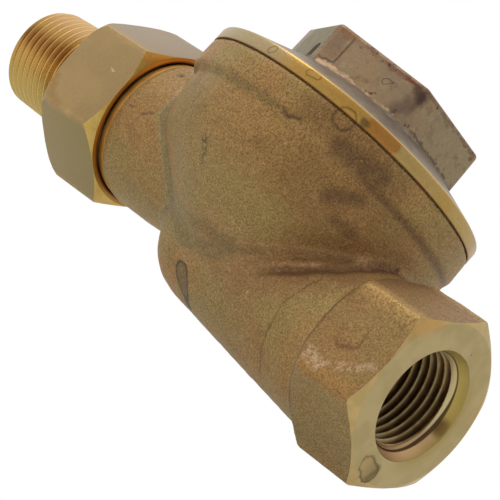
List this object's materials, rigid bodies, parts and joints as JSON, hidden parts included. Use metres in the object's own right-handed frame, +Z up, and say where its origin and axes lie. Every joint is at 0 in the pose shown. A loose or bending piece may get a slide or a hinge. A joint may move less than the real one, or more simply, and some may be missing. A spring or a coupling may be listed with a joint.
{
  "type": "thermostatic steam trap with strainer",
  "caption": "Bronze straight-through thermostatic steam trap with a strainer screen, screwed hexagon cap, union inlet and threaded outlet, half inch pipe size.",
  "frame": {"origin": "centre of the outlet's threaded face, on the axis of the outlet", "axes": "+X out of the outlet along the pipe, +Z up through the cap, inlet towards -X"},
  "size_m": [0.1249, 0.0618, 0.0628],
  "materials": {
    "cast_bronze": "sand-cast, dull and stained",
    "machined_bronze": "turned and milled, tarnished",
    "machined_brass": "turned, bright thread crests",
    "stainless": "satin",
    "copper": "annealed",
    "gasket": "compressed fibre, dark",
    "solder": "dull"
  },
  "bodies": {
    "body": {"valve_body": "cast_bronze", "outlet_hexagon": "cast_bronze", "valve_seat": "stainless", "seat_gasket": "copper", "strainer_screen": "stainless", "screen_bottom_ring": "stainless", "screen_top_ring": "stainless"},
    "tailpiece": {"union_tailpiece": "machined_brass"},
    "nut": {"union_nut": "machined_bronze"},
    "gasket": {"cap_gasket": "gasket"},
    "cap": {"cap": "machined_bronze", "element_stud": "machined_brass", "element_lock_nut": "machined_brass", "element_lock_washer": "stainless", "bellows_top_plate": "machined_brass", "bellows": "machined_brass", "bellows_stop": "machined_brass", "fill_plug": "solder"},
    "valve_pin": {"bellows_bottom_plate": "machined_brass", "valve_stem": "stainless", "head_lock_nut": "stainless", "valve_head": "stainless"}
  },
  "joints": [
    {"name": "union_draw", "type": "slide", "parent": "body", "child": "tailpiece", "axis": [-1, 0, 0], "range_m": [0, 0.00817]},
    {"name": "nut_turn", "type": "hinge", "parent": "tailpiece", "child": "nut", "pos_m": [-0.0953, 0, 0.01305], "axis": [-1, 0, 0], "range_deg": [0, 1620]},
    {"name": "cap_lift", "type": "slide", "parent": "body", "child": "gasket", "axis": [0, 0, 1], "range_m": [0, 0.00727]},
    {"name": "cap_turn", "type": "hinge", "parent": "gasket", "child": "cap", "pos_m": [-0.0506, 0, 0.02915], "axis": [0, 0, 1], "range_deg": [0, 1440]},
    {"name": "element_stroke", "type": "slide", "parent": "cap", "child": "valve_pin", "axis": [0, 0, -1], "range_m": [0, 0.0023], "stiffness_N_per_m": 2000, "deforming": ["bellows"]}
  ],
  "couplings": [
    {"joint": "union_draw", "follows": "nut_turn", "m_per_rad": 0.00028871},
    {"joint": "cap_lift", "follows": "cap_turn", "m_per_rad": 0.00028871}
  ]
}
